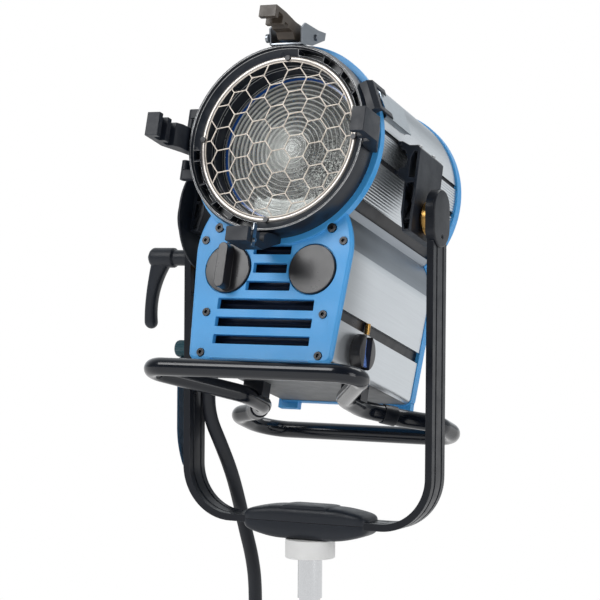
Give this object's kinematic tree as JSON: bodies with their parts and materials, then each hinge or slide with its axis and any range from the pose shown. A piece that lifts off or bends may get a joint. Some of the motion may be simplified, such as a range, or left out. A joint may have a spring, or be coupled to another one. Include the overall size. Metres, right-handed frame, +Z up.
{
  "type": "fresnel spotlight",
  "caption": "Fresnel spotlight on a grooved U-yoke: round finned housing, hinged lens door with hexagon guard, accessory claws, skid frame, focus knob and hanging cable.",
  "frame": {"origin": "centre of the spigot at its shoulder, where it leaves the collar under the yoke", "axes": "+Z up along the spigot away from its tip, -Y the way the lens faces, +X the tilt axis towards the side without the lever"},
  "size_m": [0.3805, 0.3714, 0.7843],
  "materials": {
    "blue_powder": "sky-blue fine-grain powder coat",
    "satin_black": "satin black coat",
    "gloss_black": "glossy black coat",
    "charcoal_cast": "charcoal satin anodised casting",
    "silver": "clear anodised",
    "zinc_steel": "plain",
    "grey_steel": "grey plated sheet",
    "warm_steel": "bright, warm from heat",
    "bright_steel": "turned and polished",
    "brass": "turned",
    "black_plastic": "fine-grained",
    "gloss_plastic": "smooth",
    "white_plastic": "off-white",
    "blue_clear": "tinted, translucent",
    "lens_glass": "stepped, pebbled back",
    "lamp_glass": "clear",
    "ceramic": "glazed ceramic",
    "mirror_metal": "polished",
    "black_rubber": "matt",
    "teal_plastic": "knurled",
    "blue_webbing": "woven"
  },
  "bodies": {
    "yoke": {"yoke_bar": "satin_black", "yoke_ears": "satin_black", "pivot_pins": "brass", "base_cover_top": "black_plastic", "base_cover_bottom": "black_plastic", "spigot_collar": "white_plastic", "spigot": "bright_steel", "spigot_bolt": "zinc_steel", "lock_pad": "brass", "head_cable": "black_rubber", "cable_plug": "satin_black", "strap_fittings": "teal_plastic", "cable_strap": "blue_webbing"},
    "lock_lever": {"lever_handle": "black_plastic", "lock_stud": "zinc_steel"},
    "carriage": {"side_mount_right": "charcoal_cast", "side_mount_left": "charcoal_cast", "rail_shoes": "charcoal_cast", "mount_screws": "zinc_steel", "brake_disc": "charcoal_cast"},
    "rocker": {"switch_rocker": "blue_clear"},
    "focus_knob": {"focus_knob": "gloss_plastic"},
    "lamp_group": {"lamp_carriage": "grey_steel", "lamp_socket": "ceramic", "lamp": "lamp_glass", "mirror": "mirror_metal"},
    "lens_door": {"door_ring": "charcoal_cast", "fresnel_lens": "lens_glass", "lens_retainer": "grey_steel", "guard_ring": "warm_steel", "guard_mesh": "warm_steel", "guard_screws": "satin_black", "accessory_claws": "charcoal_cast", "claw_spring": "grey_steel", "latch_bracket": "grey_steel", "hinge_leaves": "charcoal_cast", "door_fork": "charcoal_cast"},
    "top_latch": {"top_claw": "charcoal_cast"},
    "door_latch": {"latch_plate": "grey_steel"},
    "head": {"body_shell": "silver", "side_panel_right": "silver", "side_panel_left": "silver", "lower_tray": "silver", "joint_strips": "satin_black", "front_casting": "blue_powder", "rear_casting": "blue_powder", "casting_screws": "satin_black", "heat_shield": "grey_steel", "lamp_rails": "zinc_steel", "igniter_box": "black_plastic", "badge_disc": "gloss_plastic", "earth_stud": "brass", "switch_bezel": "gloss_plastic", "skid_front": "gloss_black", "skid_rear": "gloss_black", "skid_fittings": "satin_black", "door_fittings": "charcoal_cast", "cable_entry": "black_plastic", "gland_boot": "black_rubber"}
  },
  "joints": [
    {"name": "tilt", "type": "hinge", "parent": "yoke", "child": "carriage", "pos_m": [0, 0, 0.385], "axis": [1, 0, 0], "range_deg": [-55, 70], "deforming": ["head_cable"]},
    {"name": "balance_slide", "type": "slide", "parent": "carriage", "child": "head", "axis": [0, 0.9643, -0.2647], "range_m": [-0.025, 0.025], "deforming": ["gland_boot"]},
    {"name": "lock_lever", "type": "hinge", "parent": "yoke", "child": "lock_lever", "pos_m": [-0.18, 0, 0.3395], "axis": [1, 0, 0], "range_deg": [-50, 50]},
    {"name": "lens_door", "type": "hinge", "parent": "head", "child": "lens_door", "pos_m": [-0.121, -0.07131, 0.46711], "axis": [0, -0.2647, -0.9643], "range_deg": [0, 110]},
    {"name": "top_latch", "type": "hinge", "parent": "lens_door", "child": "top_latch", "pos_m": [0, -0.03396, 0.58617], "axis": [-1, 0, 0], "range_deg": [0, 100]},
    {"name": "door_latch", "type": "slide", "parent": "head", "child": "door_latch", "axis": [0, 0.9643, -0.2647], "range_m": [0, 0.014]},
    {"name": "focus_knob", "type": "hinge", "parent": "head", "child": "focus_knob", "pos_m": [-0.052, -0.10836, 0.33023], "axis": [0, 0.9643, -0.2647], "range_deg": [-450, 450]},
    {"name": "lamp_slide", "type": "slide", "parent": "head", "child": "lamp_group", "axis": [0, 0.9643, -0.2647], "range_m": [-0.03, 0.03]},
    {"name": "switch_rocker", "type": "hinge", "parent": "head", "child": "rocker", "pos_m": [0.09241, -0.06304, 0.23846], "axis": [0, 0.9643, -0.2647], "range_deg": [0, 14]}
  ],
  "couplings": [
    {"joint": "focus_knob", "follows": "lamp_slide", "rad_per_m": 261.79}
  ]
}
